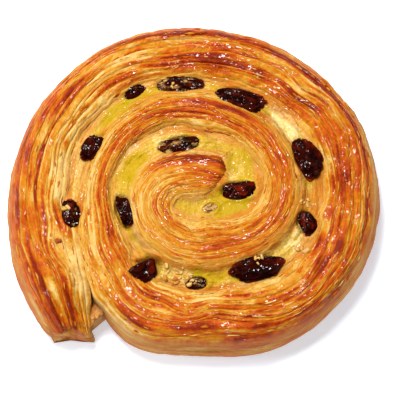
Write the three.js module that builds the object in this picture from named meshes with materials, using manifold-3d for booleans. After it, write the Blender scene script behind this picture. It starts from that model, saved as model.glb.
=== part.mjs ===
// A pain aux raisins: one slice of a roll of laminated dough, baked flat on a tray.
// The dough is a single strip wound two and a half times round an upright axis. A ribbon of custard
// runs between its turns, from top to bottom, and raisins sit in the custard where it shows.
// Millimetres and degrees, +Z up. Angles run anticlockwise from +X round the roll's axis, and grow
// past 360 as the strip winds outwards. The finished group stands on z = 0, centred on its outline.
import * as THREE from "three";
import { mergeVertices } from "three/addons/utils/BufferGeometryUtils.js";
import Module from "manifold-3d";

const wasm = await Module();
wasm.setup();

// The wound strip: the radius of its hollow face and of its outer face, every 30 degrees.
const WIND_STEP = 30;
const WIND_START = 30;
const HOLLOW_FACE = [
  11.5, 4.6, 3.4, 3.7, 6.2, 8.6, 6.4, 4.7, 4.2, 5.1, 9.0, 16.3, 20.8, 22.6, 23.5, 27.2,
  27.7, 25.8, 24.5, 26.2, 25.4, 27.7, 32.6, 36.4, 39.0, 38.8, 39.8, 41.8, 42.0, 40.0, 39.7, 55.0,
];
const OUTER_FACE = [
  16.5, 16.4, 15.8, 18.1, 20.9, 20.6, 20.1, 18.9, 18.4, 19.6, 24.4, 29.8, 32.2, 33.8, 35.4, 36.6,
  36.3, 36.5, 39.2, 45.0, 43.1, 46.9, 51.1, 54.5, 56.8, 56.7, 57.5, 59.1, 59.2, 58.8, 59.0, 60.7,
];
// Both ends of the strip are cut askew, so each face starts and stops at its own angle.
const INNER_END = { hollow: 42.6, outer: 60.2 };
const TAIL_END = { hollow: 949.2, outer: 939.0 };
const EXPOSED_FROM = 580; // where the outer face comes free of the next turn
const EXPOSED_BY = 600;

const CENTRE_HEIGHT = 31;
const RIM_HEIGHT = 27;
const CREST_DROP = 4; // from a turn's crown to its edge beside the custard
const SHOULDER_HEIGHT = 22; // where the rim's top rolls over into its side
const SHOULDER_INSET = 1.2;
const SIDE_BULGE_HEIGHT = 12.5;
const BASE_INSET = 3.2; // the side tucks in this much where it meets the tray
const RIDGE_HEIGHT = 0.55; // the opened leaves of the dough, coarse
const RIDGE_COUNT = 5;
const TAIL_DROP = 7; // the tail's top slopes down to its cut end
const TAIL_DROP_RUN = 14; // degrees
const END_ROUNDING = [0.84, 0.95]; // how far the first and last rings draw in

// The web of dough left between the tail and the turn inside it, low down in the notch.
const WEB_FROM = 569;
const WEB_UNTIL = 587;
const WEB_HEIGHT = 8;
const WEB_INTO_TURN = 2.5;
const WEB_INTO_TAIL = 0.6;

// The custard. It starts as a pool in the crook of the strip's inner end, then follows the strip
// outwards. Each angle is a turn behind the hollow face that holds the custard there.
const POOL_START = -194;
const POOL_TO_END_FACE = 6; // up to here the pool's other side is the strip's own hollow face
const RIBBON_START = 61; // and from here on it is the outer face of the turn inside
const CUSTARD_END = 556;
const CUSTARD_BELOW_CROWN = 3.4;
const CUSTARD_BASE = 0.4;
const FACE_GAP = 0.3; // between neighbouring solids
const END_GAP = 0.5; // and between the custard and the cut inner end

// Raisins: middle, length, width and heading in plan, as the top shows them. lift raises one out of
// the custard, and stand is its height as a share of its width.
const RAISINS = [
  { x: -20.3, y: 35.4, length: 6.8, width: 4.2, heading: 30, lift: -0.8, stand: 0.8 },
  { x: -6.5, y: 38.3, length: 15.6, width: 5.4, heading: 2, lift: -0.4, stand: 0.8 },
  { x: 12.2, y: 33.4, length: 14.9, width: 7.2, heading: -16, lift: 0.9, stand: 0.75 },
  { x: 32.1, y: 14.8, length: 13.6, width: 7.8, heading: -66, lift: 0.9, stand: 0.75 },
  { x: -32.2, y: 17.9, length: 9.4, width: 6.2, heading: 53, lift: 0.4, stand: 0.8 },
  { x: -6.3, y: 19.2, length: 14.0, width: 6.0, heading: 9, lift: 0.0, stand: 0.8 },
  { x: 11.4, y: 5.2, length: 11.4, width: 5.7, heading: 6, lift: 1.0, stand: 0.8 },
  { x: -23.3, y: -1.8, length: 10.4, width: 5.0, heading: -72, lift: 0.6, stand: 0.9 },
  { x: -39.0, y: -2.4, length: 9.0, width: 6.4, heading: 100, lift: -0.3, stand: 0.7 },
  { x: -17.9, y: -19.6, length: 11.4, width: 6.2, heading: 25, lift: 0.5, stand: 0.8 },
  { x: 16.8, y: -19.1, length: 15.6, width: 8.0, heading: 12, lift: 0.9, stand: 0.75 },
  { x: 31.7, y: -5.0, length: 7.4, width: 5.4, heading: -70, lift: 0.2, stand: 0.8 },
  { x: -1.1, y: -23.4, length: 7.2, width: 4.4, heading: 5, lift: -1.0, stand: 0.8 },
  { x: 2.9, y: -0.4, length: 5.4, width: 3.8, heading: 20, lift: -0.6, stand: 0.8 },
];
const RAISIN_RINGS = 7;
const RAISIN_SIDES = 10;
const RAISIN_WRINKLE = 0.08; // as a share of its half width
const RAISIN_CLEARANCE = 0.35;

const DOUGH_RINGS = 100;
const CUSTARD_RINGS = 76;
const TOP_POINTS = 13;

const dough = new THREE.MeshStandardMaterial({ color: 0xd98a3c, roughness: 0.45, metalness: 0 });
const custard = new THREE.MeshStandardMaterial({ color: 0xe8cc5a, roughness: 0.3, metalness: 0 });
const raisin = new THREE.MeshStandardMaterial({ color: 0x3a1712, roughness: 0.3, metalness: 0 });

const { lerp, clamp, smoothstep, degToRad } = THREE.MathUtils;

// A smooth curve (Catmull-Rom) through values that stand step degrees apart from start.
function through(values, start, step, angle) {
  const at = clamp((angle - start) / step, 0, values.length - 1);
  const i = Math.min(Math.floor(at), values.length - 2);
  const t = at - i;
  const [p0, p1, p2, p3] = [i - 1, i, i + 1, i + 2].map(
    (k) => values[clamp(k, 0, values.length - 1)],
  );
  return (
    p1 +
    0.5 * t * (p2 - p0 + t * (2 * p0 - 5 * p1 + 4 * p2 - p3 + t * (3 * (p1 - p2) + p3 - p0)))
  );
}

const hollowFace = (angle) => through(HOLLOW_FACE, WIND_START, WIND_STEP, angle);
const outerFace = (angle) => through(OUTER_FACE, WIND_START, WIND_STEP, angle);

// The height of a turn's crown: the roll stands a little proud in the middle.
function crown(angle) {
  const wound = clamp((angle - INNER_END.outer) / (TAIL_END.outer - INNER_END.outer), 0, 1);
  const tail = smoothstep(angle, TAIL_END.outer - TAIL_DROP_RUN, TAIL_END.outer + 10);
  return lerp(CENTRE_HEIGHT, RIM_HEIGHT, wound) - TAIL_DROP * tail;
}

function polar(angle, radius, z) {
  const a = degToRad(angle);
  return new THREE.Vector3(radius * Math.cos(a), radius * Math.sin(a), z);
}

// Joins rings of points into one closed solid, with a fan over the first and the last ring. The fans
// meet in the tips, or else in the middle of their ring.
function loft(rings, tips = []) {
  const n = rings[0].length;
  const points = rings.flat();
  const index = [];
  for (let r = 0; r < rings.length - 1; r++) {
    for (let i = 0; i < n; i++) {
      const [a, b] = [r * n + i, r * n + ((i + 1) % n)];
      index.push(a, a + n, b, b, a + n, b + n);
    }
  }
  for (const [first, flip, given] of [
    [0, true, tips[0]],
    [(rings.length - 1) * n, false, tips[1]],
  ]) {
    const middle = new THREE.Vector3();
    for (let i = 0; i < n; i++) middle.addScaledVector(points[first + i], 1 / n);
    const tip = points.push(given ?? middle) - 1;
    for (let i = 0; i < n; i++) {
      const [a, b] = [first + i, first + ((i + 1) % n)];
      index.push(...(flip ? [a, b, tip] : [b, a, tip]));
    }
  }
  return new THREE.BufferGeometry().setFromPoints(points).setIndex(index);
}

// The strip's section as [share across from hollow face to outer face, radial shift, z], going
// round from the base, up the outer side, back over the top and down the hollow side.
function doughSection(angle) {
  const open = smoothstep(angle, EXPOSED_FROM, EXPOSED_BY);
  const top = crown(angle);
  const edge = top - CREST_DROP;
  const outerEdge = lerp(edge, Math.min(SHOULDER_HEIGHT, edge), open);
  const section = [
    [0.1, 0, 0],
    [0.5, 0, 0],
    [0.9, -BASE_INSET * open, 0],
    [1, -0.6 * BASE_INSET * open, 2.5],
    [1, 0, SIDE_BULGE_HEIGHT * 0.85],
    [1, -0.1 * open, SIDE_BULGE_HEIGHT * 1.2],
  ];
  for (let i = 0; i < TOP_POINTS; i++) {
    const across = 1 - i / (TOP_POINTS - 1);
    const side = 2 * across - 1; // -1 at the hollow face, 1 at the outer face
    const drop = Math.abs(side) ** 3.2 * (side > 0 ? top - outerEdge : CREST_DROP);
    const wander = 0.5 * Math.sin(degToRad(angle * 2.3)) + 0.35 * Math.sin(degToRad(angle * 5.1));
    const leaf = Math.cos(2 * Math.PI * RIDGE_COUNT * across + 3 * wander);
    const ridge = RIDGE_HEIGHT * leaf * (1 - side ** 6);
    section.push([across, -SHOULDER_INSET * open * smoothstep(side, 0.2, 1), top - drop + ridge]);
  }
  section.push([0, 0, 10], [0, 0, 1.2]);
  return section;
}

function doughRing(along, drawIn) {
  const at = lerp(INNER_END.outer, TAIL_END.outer, along);
  const section = doughSection(at);
  return section.map(([across, shift, z]) => {
    const share = 0.5 + (across - 0.5) * drawIn;
    const angle = lerp(
      lerp(INNER_END.hollow, INNER_END.outer, share),
      lerp(TAIL_END.hollow, TAIL_END.outer, share),
      along,
    );
    const radius = lerp(hollowFace(angle), outerFace(angle), share) + shift;
    return polar(angle, radius, z * lerp(0.35, 1, drawIn));
  });
}

function doughSolid() {
  const rings = [];
  for (let i = 0; i < DOUGH_RINGS; i++) {
    const fromEnd = Math.min(i, DOUGH_RINGS - 1 - i);
    // Rings crowd together at both ends, so that the rounding there is short.
    const even = i / (DOUGH_RINGS - 1);
    const along = lerp(even, 0.5 - 0.5 * Math.cos(Math.PI * even), 0.35);
    rings.push(doughRing(along, END_ROUNDING[fromEnd] ?? 1));
  }
  return loft(rings);
}

function webSolid() {
  const rings = [];
  for (let angle = WEB_FROM; angle <= WEB_UNTIL; angle += 3) {
    const low = outerFace(angle) - WEB_INTO_TURN;
    const high = hollowFace(angle + 360) + WEB_INTO_TAIL;
    const sink = 2.5 * smoothstep(angle, WEB_FROM, WEB_UNTIL);
    rings.push([
      polar(angle, low, 0),
      polar(angle, high, 0),
      polar(angle, high, WEB_HEIGHT - sink * 0.6),
      polar(angle, lerp(low, high, 0.6), WEB_HEIGHT - sink * 1.4),
      polar(angle, low, WEB_HEIGHT - sink * 0.6),
    ]);
  }
  return loft(rings);
}

// A point of one face in plan, moved off the face by the gap. side is 1 for away from the axis.
function offFace(face, angle, side) {
  const [before, after] = [polar(angle - 1, face(angle - 1), 0), polar(angle + 1, face(angle + 1), 0)];
  const along = after.sub(before).normalize();
  const off = new THREE.Vector3(along.y, -along.x, 0).multiplyScalar(side * FACE_GAP);
  return polar(angle, face(angle), 0).add(off);
}

// The custard's side towards the axis, in plan: up the hollow face of the strip's inner end, across
// its cut face, and on along its outer face.
function custardInnerPoint(angle) {
  if (angle < POOL_TO_END_FACE) {
    const share = (angle - POOL_START) / (POOL_TO_END_FACE - POOL_START);
    return offFace(hollowFace, lerp(360 + POOL_START, INNER_END.hollow, share), -1);
  }
  if (angle < RIBBON_START) {
    const corner = polar(INNER_END.hollow, hollowFace(INNER_END.hollow), 0);
    const across = polar(INNER_END.outer, outerFace(INNER_END.outer), 0).sub(corner);
    const share = (angle - POOL_TO_END_FACE) / (RIBBON_START - POOL_TO_END_FACE);
    const off = new THREE.Vector3(across.y, -across.x, 0).setLength(END_GAP);
    return corner.addScaledVector(across, share).add(off);
  }
  return offFace(outerFace, angle, 1);
}

function custardRing(angle) {
  const inner = custardInnerPoint(angle);
  const outer = offFace(hollowFace, angle + 360, -1);
  const width = inner.distanceTo(outer);
  const top = crown(Math.max(angle, INNER_END.outer) + 180) - CUSTARD_BELOW_CROWN;
  const sag = 0.12 * Math.min(width, 8);
  return [
    [0.12, CUSTARD_BASE],
    [0.88, CUSTARD_BASE],
    [1, CUSTARD_BASE + 0.8],
    [1, top],
    [0.75, top - 0.7 * sag],
    [0.5, top - sag + 0.4 * Math.sin(degToRad(angle * 7))],
    [0.25, top - 0.7 * sag],
    [0, top],
    [0, CUSTARD_BASE + 0.8],
  ].map(([across, z]) => inner.clone().lerp(outer, across).setZ(z));
}

function custardSolid() {
  const rings = [];
  for (let i = 0; i < CUSTARD_RINGS; i++) {
    // The rings stand closer in the small turns at the middle.
    const share = (i / (CUSTARD_RINGS - 1)) ** 1.15;
    rings.push(custardRing(lerp(POOL_START, CUSTARD_END, share)));
  }
  return loft(rings);
}

// A raisin: an uneven, wrinkled ellipsoid, turned to its heading and set in the custard.
function raisinSolid(spec, number, grow = 0) {
  const rings = [];
  for (let i = 1; i <= RAISIN_RINGS; i++) {
    const along = -Math.cos((Math.PI * i) / (RAISIN_RINGS + 1));
    const girth = Math.sqrt(1 - along * along);
    const ring = [];
    for (let k = 0; k < RAISIN_SIDES; k++) {
      const round = (-2 * Math.PI * k) / RAISIN_SIDES;
      const wrinkle = RAISIN_WRINKLE * Math.sin(4 * round + number + 2 * along);
      const fat = girth * (1 + wrinkle - 0.12 * along * Math.cos(number * 2.1));
      const bend = 0.1 * Math.sin(number * 1.7) * girth * girth * spec.width;
      ring.push(
        new THREE.Vector3(
          along * (spec.length / 2 + grow),
          fat * Math.cos(round) * (spec.width / 2 + grow) + bend,
          fat * Math.sin(round) * ((spec.width * spec.stand) / 2 + grow),
        ),
      );
    }
    rings.push(ring);
  }
  const radius = Math.hypot(spec.x, spec.y);
  const level = lerp(CENTRE_HEIGHT, RIM_HEIGHT, clamp(radius / OUTER_FACE.at(-1), 0, 1));
  const shape = loft(rings, [-1, 1].map((end) => new THREE.Vector3(end * (spec.length / 2 + grow), 0, 0)));
  shape.rotateZ(degToRad(spec.heading));
  shape.translate(spec.x, spec.y, level - CUSTARD_BELOW_CROWN + spec.lift);
  return shape;
}

// A three.js geometry as a manifold solid, and back.
function solidOf(geometry) {
  const bare = geometry.clone();
  bare.deleteAttribute("normal");
  bare.deleteAttribute("uv");
  const merged = mergeVertices(bare, 1e-4);
  return new wasm.Manifold(
    new wasm.Mesh({
      numProp: 3,
      vertProperties: merged.getAttribute("position").array,
      triVerts: new Uint32Array(merged.index.array),
    }),
  );
}

function geometryOf(solid) {
  const mesh = solid.getMesh();
  const geometry = new THREE.BufferGeometry();
  geometry.setAttribute("position", new THREE.BufferAttribute(mesh.vertProperties, 3));
  geometry.setIndex(new THREE.BufferAttribute(mesh.triVerts, 1));
  geometry.computeVertexNormals();
  return geometry;
}

const pastry = new THREE.Group();

function add(name, geometry, material) {
  const mesh = new THREE.Mesh(geometry, material);
  mesh.name = name;
  pastry.add(mesh);
}

// The dough and the custard make room for each raisin.
let doughBody = solidOf(doughSolid()).add(solidOf(webSolid()));
let custardBody = solidOf(custardSolid());
RAISINS.forEach((spec, i) => {
  const room = solidOf(raisinSolid(spec, i + 1, RAISIN_CLEARANCE));
  doughBody = doughBody.subtract(room);
  custardBody = custardBody.subtract(room);
  add(`raisin_${String(i + 1).padStart(2, "0")}`, raisinSolid(spec, i + 1), raisin);
});
add("dough", geometryOf(doughBody), dough);
add("custard", geometryOf(custardBody), custard);

const outline = new THREE.Box3().setFromObject(pastry);
const middle = outline.getCenter(new THREE.Vector3());
pastry.position.set(-middle.x, -middle.y, -outline.min.z);

export default pastry;
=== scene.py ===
"""Looks of a pain aux raisins: a strip of laminated dough wound round a ribbon of custard and raisins.

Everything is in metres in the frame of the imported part. Plan sizes are millimetres until the last
step. Angles run anticlockwise round the roll's axis, and grow past 360 as the strip winds outwards.
A share goes from 0 at a turn's hollow face to 1 at its outer face, and a run is the distance in
millimetres along the middle of the strip from its inner end.
"""

import functools
import itertools
import math

import bpy
import numpy as np
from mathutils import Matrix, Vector


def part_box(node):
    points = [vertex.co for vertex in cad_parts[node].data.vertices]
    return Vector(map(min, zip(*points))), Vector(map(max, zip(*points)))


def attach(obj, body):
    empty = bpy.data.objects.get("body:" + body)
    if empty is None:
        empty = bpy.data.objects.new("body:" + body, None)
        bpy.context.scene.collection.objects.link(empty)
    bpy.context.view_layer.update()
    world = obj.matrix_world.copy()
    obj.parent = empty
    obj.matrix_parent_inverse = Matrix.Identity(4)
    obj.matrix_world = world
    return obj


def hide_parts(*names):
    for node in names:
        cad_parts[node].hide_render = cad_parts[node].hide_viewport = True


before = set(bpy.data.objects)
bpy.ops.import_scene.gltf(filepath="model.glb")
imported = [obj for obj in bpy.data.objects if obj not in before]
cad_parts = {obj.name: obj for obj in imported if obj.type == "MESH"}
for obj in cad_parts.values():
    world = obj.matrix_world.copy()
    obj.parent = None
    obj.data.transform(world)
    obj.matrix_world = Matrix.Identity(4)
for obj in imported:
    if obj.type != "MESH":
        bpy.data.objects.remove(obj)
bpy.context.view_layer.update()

bl_info = {
    "name": "Pain aux raisins",
    "version": (1, 0, 0),
    "blender": (4, 5, 0),
    "location": "View3D > Sidebar > Pastry",
    "description": "Builds a baked roll of laminated dough with custard and raisins",
    "category": "Add Mesh",
}

MM = 0.001

# The wound strip, as in the part: the radius of its hollow face and of its outer face in
# millimetres, at every WIND_STEP degrees from WIND_START on.
WIND_STEP = 30
WIND_START = 30
HOLLOW_FACE = [
    11.5, 4.6, 3.4, 3.7, 6.2, 8.6, 6.4, 4.7, 4.2, 5.1, 9.0, 16.3, 20.8, 22.6, 23.5, 27.2,
    27.7, 25.8, 24.5, 26.2, 25.4, 27.7, 32.6, 36.4, 39.0, 38.8, 39.8, 41.8, 42.0, 40.0, 39.7, 55.0,
]
OUTER_FACE = [
    16.5, 16.4, 15.8, 18.1, 20.9, 20.6, 20.1, 18.9, 18.4, 19.6, 24.4, 29.8, 32.2, 33.8, 35.4, 36.6,
    36.3, 36.5, 39.2, 45.0, 43.1, 46.9, 51.1, 54.5, 56.8, 56.7, 57.5, 59.1, 59.2, 58.8, 59.0, 60.7,
]

# The angles of the cuts at the inner end and at the tail, each at the hollow face and at the outer
# face, and those over which the outer side comes free as the rim.
INNER_END = (42.6, 60.2)
TAIL_END = (949.2, 939.0)
EXPOSED = (580, 600)

# The strip's section in millimetres: its crown in the middle and at the rim, how far the crown
# falls at least to the free shoulder, and to the custard, how high the shoulder lies and how far
# it is drawn in, how high the side bulges and how far its foot is drawn in, and how far the tail
# falls, over how many degrees.
CENTRE_HEIGHT = 31
RIM_HEIGHT = 27
CREST_DROP = 4
EDGE_DROP = 3
SHOULDER_HEIGHT = 22
SHOULDER_INSET = 1.2
BULGE_HEIGHT = 12.5
BASE_INSET = 3.2
TAIL_DROP = 7
TAIL_DROP_RUN = 14

# The custard: the angles where its pool starts and where that meets the cut of the inner end,
# where the ribbon starts and ends, and how many millimetres it lies under the crowns.
POOL_START = -194
POOL_TO_END_FACE = 6
RIBBON_START = 61
CUSTARD_END = 556
CUSTARD_BELOW_CROWN = 3.4

# Length, width and heading of each raisin in plan.
RAISINS = [
    (6.8, 4.2, 30), (15.6, 5.4, 2), (14.9, 7.2, -16), (13.6, 7.8, -66), (9.4, 6.2, 53),
    (14.0, 6.0, 9), (11.4, 5.7, 6), (10.4, 5.0, -72), (9.0, 6.4, 100), (11.4, 6.2, 25),
    (15.6, 8.0, 12), (7.4, 5.4, -70), (7.2, 4.4, 5), (5.4, 3.8, 20),
]

# The photograph's frame: its size, its scale and where its middle falls on the pastry. Then the
# camera's degrees above the table, its distance in metres and its sensor's width, and half the
# side of the floor in metres.
PHOTO_SIDE_PX = 400
PX_PER_MM = 3.30
FRAME_MIDDLE = (0.0, 1.98, 27.0)
CAMERA_ELEVATION = 80
CAMERA_DISTANCE = 1.3
SENSOR = 36
FLOOR_HALF = 1.5


# ---------------------------------------------------------------- curves, noise and blends


def blend(value, low, high):
    """0 below low, 1 above high, and a smooth S between."""
    t = np.clip((value - low) / (high - low), 0, 1)
    return t * t * (3 - 2 * t)


def mix(a, b, share):
    """a at share 0, b at share 1, and evenly between."""
    return a + (b - a) * share


def bump(value, middle, width):
    """A hill of height 1 round middle that has sunk to a third at width."""
    return np.exp(-(((value - middle) / width) ** 2))


def through(values, angle):
    """A smooth curve (Catmull-Rom) through values that stand WIND_STEP degrees apart."""
    values = np.asarray(values, float)
    at = np.clip((angle - WIND_START) / WIND_STEP, 0, len(values) - 1)
    i = np.minimum(np.floor(at).astype(int), len(values) - 2)
    t = at - i
    p0, p1, p2, p3 = (values[np.clip(i + k, 0, len(values) - 1)] for k in (-1, 0, 1, 2))
    return p1 + 0.5 * t * (p2 - p0 + t * (2 * p0 - 5 * p1 + 4 * p2 - p3 + t * (3 * (p1 - p2) + p3 - p0)))


def hollow_face(angle):
    """Radius of a turn's hollow side, which looks at the axis."""
    return through(HOLLOW_FACE, angle)


def outer_face(angle):
    """Radius of a turn's outer side."""
    return through(OUTER_FACE, angle)


def turn_radius(angle, share):
    """Radius at a share of the way across a turn."""
    return mix(hollow_face(angle), outer_face(angle), share)


def exposed(angle):
    """1 where a turn's outer side is the free rim, and 0 where the next turn lies against it."""
    return blend(angle, *EXPOSED)


NOISE_CELLS = 64


def noise(seed, *axes):
    """Random numbers from -1 to 1 on the whole-number points, blended smoothly between them."""
    table = np.random.default_rng(seed).uniform(-1, 1, (NOISE_CELLS,) * len(axes))
    axes = np.broadcast_arrays(*[np.asarray(a, float) for a in axes])
    cell = [np.floor(a).astype(int) for a in axes]
    share = [blend(a - c, 0, 1) for a, c in zip(axes, cell)]
    total = np.zeros(axes[0].shape)
    for corner in itertools.product((0, 1), repeat=len(axes)):
        weight = np.ones(axes[0].shape)
        for step, s in zip(corner, share):
            weight = weight * (s if step else 1 - s)
        total += weight * table[tuple((c + step) % NOISE_CELLS for c, step in zip(cell, corner))]
    return total


def rough(seed, octaves, *axes):
    """Noise at doubling fineness and halving strength, still within about -1 to 1."""
    total = 0
    for k in range(octaves):
        total = total + noise(seed + k, *[np.asarray(a) * 2**k for a in axes]) * 0.5**k
    return total / 1.5


def together(*parts):
    """Arrays or single numbers as one array, with the parts along its last axis."""
    return np.stack(np.broadcast_arrays(*parts), -1)


def polar(angle, radius):
    """Plan points for angles in degrees and radii, as an array with x and y last."""
    a = np.radians(angle)
    return together(radius * np.cos(a), radius * np.sin(a))


def turned(x, y, turn):
    """x and y turned anticlockwise by an angle in radians."""
    return x * np.cos(turn) - y * np.sin(turn), x * np.sin(turn) + y * np.cos(turn)


def raised(plan, height):
    """Points in metres from plan points and heights in millimetres."""
    return np.concatenate([plan, height[..., None]], axis=-1) * MM


def travelled(path, axis=0):
    """How far along a path of points each of them lies from the first."""
    steps = np.diff(path, axis=axis, prepend=np.take(path, [0], axis))
    return np.cumsum(np.linalg.norm(steps, axis=-1), axis=axis)


def ringed(count, widths, *stretches):
    """The stretches of all rings side by side, each an array, a row, a column or a number."""
    stretches = [np.broadcast_to(values, (count, width)) for values, width in zip(stretches, widths)]
    return np.concatenate(stretches, axis=1)


def middle_of(node):
    """The middle and the size of a node's box, in millimetres."""
    low, high = np.array(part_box(node))
    return (low + high) / 2 / MM, (high - low) / MM


def ball(rings, sides):
    """Directions all over a ball as x, y and z, in rings round x from its low end to its high."""
    down = np.linspace(0, math.pi, rings + 2)[1:-1, None]
    round_by = -np.linspace(0, 2 * math.pi, sides, endpoint=False)[None, :]
    return -np.cos(down) + 0 * round_by, np.sin(down) * np.cos(round_by), np.sin(down) * np.sin(round_by)


def patched(rows, angle, share):
    """The sum of the hills that rows give: angle, share, degrees along, share across and height."""
    total = 0
    for middle, across, long, wide, height in rows:
        total = total + height * bump(angle, middle, long) * bump(share, across, wide)
    return total


# ---------------------------------------------------------------- the strip of dough

# Places along the strip, from 0 to 1, where its run is worked out.
STRIP_ALONG = np.linspace(0, 1, 4001)


def strip_angle(along, share):
    """The angle at a place on the strip: both ends are askew, so it depends on the share too."""
    first = mix(INNER_END[0], INNER_END[1], share)
    last = mix(TAIL_END[0], TAIL_END[1], share)
    return mix(first, last, along)


def strip_plan(along, share):
    """Plan points of the strip: the radius goes evenly from its hollow to its outer face."""
    angle = strip_angle(along, share)
    return polar(angle, turn_radius(angle, share))


# The run at each of STRIP_ALONG.
STRIP_RUNS = travelled(strip_plan(STRIP_ALONG, 0.5))
STRIP_LENGTH = STRIP_RUNS[-1]


def along_at(run):
    """The place along the strip, from 0 to 1, for a run in millimetres."""
    return np.interp(run, STRIP_RUNS, STRIP_ALONG)


def crown(angle):
    """Height of a turn's crown, which falls from the middle to the rim and down the tail."""
    wound = np.clip((angle - INNER_END[1]) / (TAIL_END[1] - INNER_END[1]), 0, 1)
    tail = blend(angle, TAIL_END[1] - TAIL_DROP_RUN, TAIL_END[1] + 10)
    return mix(CENTRE_HEIGHT, RIM_HEIGHT, wound) - TAIL_DROP * tail


def plan_shift():
    """What moves the strip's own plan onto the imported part, middle of outline to middle of box."""
    outline = np.concatenate([strip_plan(STRIP_ALONG, share) for share in (0, 1)])
    packed, _ = middle_of("dough")
    return packed[:2] - (outline.min(0) + outline.max(0)) / 2


SHIFT = plan_shift()

# How many leaves of dough lie across a turn, and where the columns of each lie within it.
LEAVES = 10
LEAF_COLUMNS = np.array([0.03, 0.13, 0.29, 0.45, 0.60, 0.75, 0.88, 0.97])


def leaf_edges(run):
    """Where the leaves of dough part, as shares: leaves swell and pinch along the run, each by
    its own noise, are scaled to fill the strip's width, and then wander together."""
    run = np.asarray(run, float)[..., None]
    k = np.arange(LEAVES)
    swell = 0.6 * noise(11, run / 28, k * 5.37 + 0.5) + 0.4 * noise(12, run / 9, k * 3.71 + 0.5)
    width = np.exp(swell) * (1 + 0.3 * np.sin(k * 2.1))
    edges = np.cumsum(width, axis=-1) / width.sum(-1, keepdims=True)
    edges = edges + 0.015 * np.sin(math.pi * edges) * noise(13, run / 8, edges * 3)
    return np.concatenate([np.zeros(edges.shape[:-1] + (1,)), edges], axis=-1)


def leaf_sides(edges, leaf):
    """The shares where a leaf starts and stops, from the edges that leaf_edges gives."""
    shape = np.broadcast_shapes(edges.shape[:-1], leaf.shape)
    edges = np.broadcast_to(edges, shape + (LEAVES + 1,))
    leaf = np.broadcast_to(leaf, shape)[..., None]
    return [np.take_along_axis(edges, leaf + side, -1)[..., 0] for side in (0, 1)]


def leaf_relief(run, leaf, within):
    """Height of the opened leaves over the smooth crown, in millimetres: each leaf stands at its
    own wandering height, is arched between its two edges, leans, carries finer leaves, and in
    places has a crevice along its lower edge. Returns the height and the crevice from 0 to 1."""
    stand = 0.6 * noise(21, run / 20, leaf * 7.3 + 0.4) + 0.55 * noise(22, run / 5, leaf * 5.1 + 0.2)
    arch = -0.6 * np.abs(2 * within - 1) ** 2.4
    lean = 0.5 * noise(23, run / 19, leaf * 3.3 + 0.7) * (2 * within - 1)
    drift = 0.6 * noise(24, run / 25, leaf * 2.9)
    fine = 0.12 * np.cos(2 * math.pi * (2.6 * within + drift)) * (1 - (2 * within - 1) ** 4)
    crinkle = mix(0.1, 0.36, blend(run, 40, 150)) * rough(25, 2, run / 1.5, leaf * 9.1 + within * 2.6)
    open_here = np.clip(1.7 * noise(27, run / 13, leaf * 8.3) - 0.55, 0, 1)
    crevice = open_here * bump(within, 0.04, 0.12)
    calm = 0.66 + 0.4 * noise(28, run / 26, leaf * 0.35)
    thin = mix(0.48, 1, blend(run, 130, 320))
    return thin * (calm * (stand + arch + lean + fine) - 0.9 * crevice) + crinkle, crevice


# The grooves beside the innermost turn are shallower, by this share.
SHALLOW = 0.6
SHALLOW_UNTIL = (330, 480)

# Angles of the turn inside the tail between which the seam shuts, and opens again.
SEAM_SHUTS = (541, 553)
SEAM_OPENS = (578, 587)


def closing(angle):
    """Where the tail is pressed against the turn inside it, so that the seam is shut."""
    return blend(angle, *SEAM_SHUTS) * blend(angle, *SEAM_OPENS[::-1])


def edge_shift(run, angle, share, height):
    """How far a face is moved off its smooth plan, outwards in millimetres: ragged next to the
    custard, drawn in at the free rim's shoulder, and bulging to shut the tail's seam."""
    side = 2 * share - 1
    free = exposed(angle)
    high = blend(height, 10, 19)
    outer_wander = 1.2 * rough(33, 3, run / 9, 0.3) * (1 - free)
    hollow_wander = -1.2 * rough(35, 3, run / 9, 7.6) * blend(angle, 950, 925)
    wander = np.where(side > 0, outer_wander, hollow_wander) * blend(np.abs(side), 0.3, 1) * high
    inset = -SHOULDER_INSET * free * blend(side, 0.2, 1) * blend(height, BULGE_HEIGHT, SHOULDER_HEIGHT)
    seam = np.where(side > 0, angle, angle - 360)
    half_gap = (hollow_face(seam + 360) - outer_face(seam)) / 2 + 0.2
    press = closing(seam) * half_gap * np.sign(side) * blend(np.abs(side), 0.1, 1) * blend(height, 4, 14)
    return wander + inset + press


def edge_drop(angle):
    """How far a turn's edge beside the custard lies under its crown, in millimetres."""
    return EDGE_DROP * mix(SHALLOW, 1, blend(angle, *SHALLOW_UNTIL))


# Bold single ridges and dips of the tail: angle, share, degrees along, share across, millimetres.
RIDGES = [
    (932, 0.73, 11, 0.06, 1.3), (937, 0.40, 9, 0.06, 1.1), (929, 0.60, 6, 0.07, -0.7),
    (930, 0.16, 9, 0.12, -0.6), (600, 0.86, 14, 0.05, -0.7), (86, 0.86, 34, 0.1, 0.8),
]


def strip_top(run, share, relief):
    """Height of the strip's top: a crown that falls off steeply towards both edges, and on the
    free rim further down to its shoulder, with the leaves' relief fading at the edges."""
    angle = strip_angle(along_at(run), share)
    free = exposed(angle)
    side = 2 * share - 1
    shut = closing(np.where(side > 0, angle, angle - 360))
    top = crown(angle) + 0.5 * noise(31, run / 33, 0.5)
    crest_drop = edge_drop(angle) * (1 - 0.5 * shut)
    shoulder = SHOULDER_HEIGHT + 1.1 * rough(37, 2, run / 13, 0.5)
    outer_edge = mix(top - crest_drop, np.minimum(shoulder, top - CREST_DROP), free)
    top = top + patched(RIDGES, angle, share)
    drop = np.abs(side) ** 3.2 * np.where(side > 0, top - outer_edge, crest_drop)
    return top - drop + relief * (1 - np.abs(side) ** 10)


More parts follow.
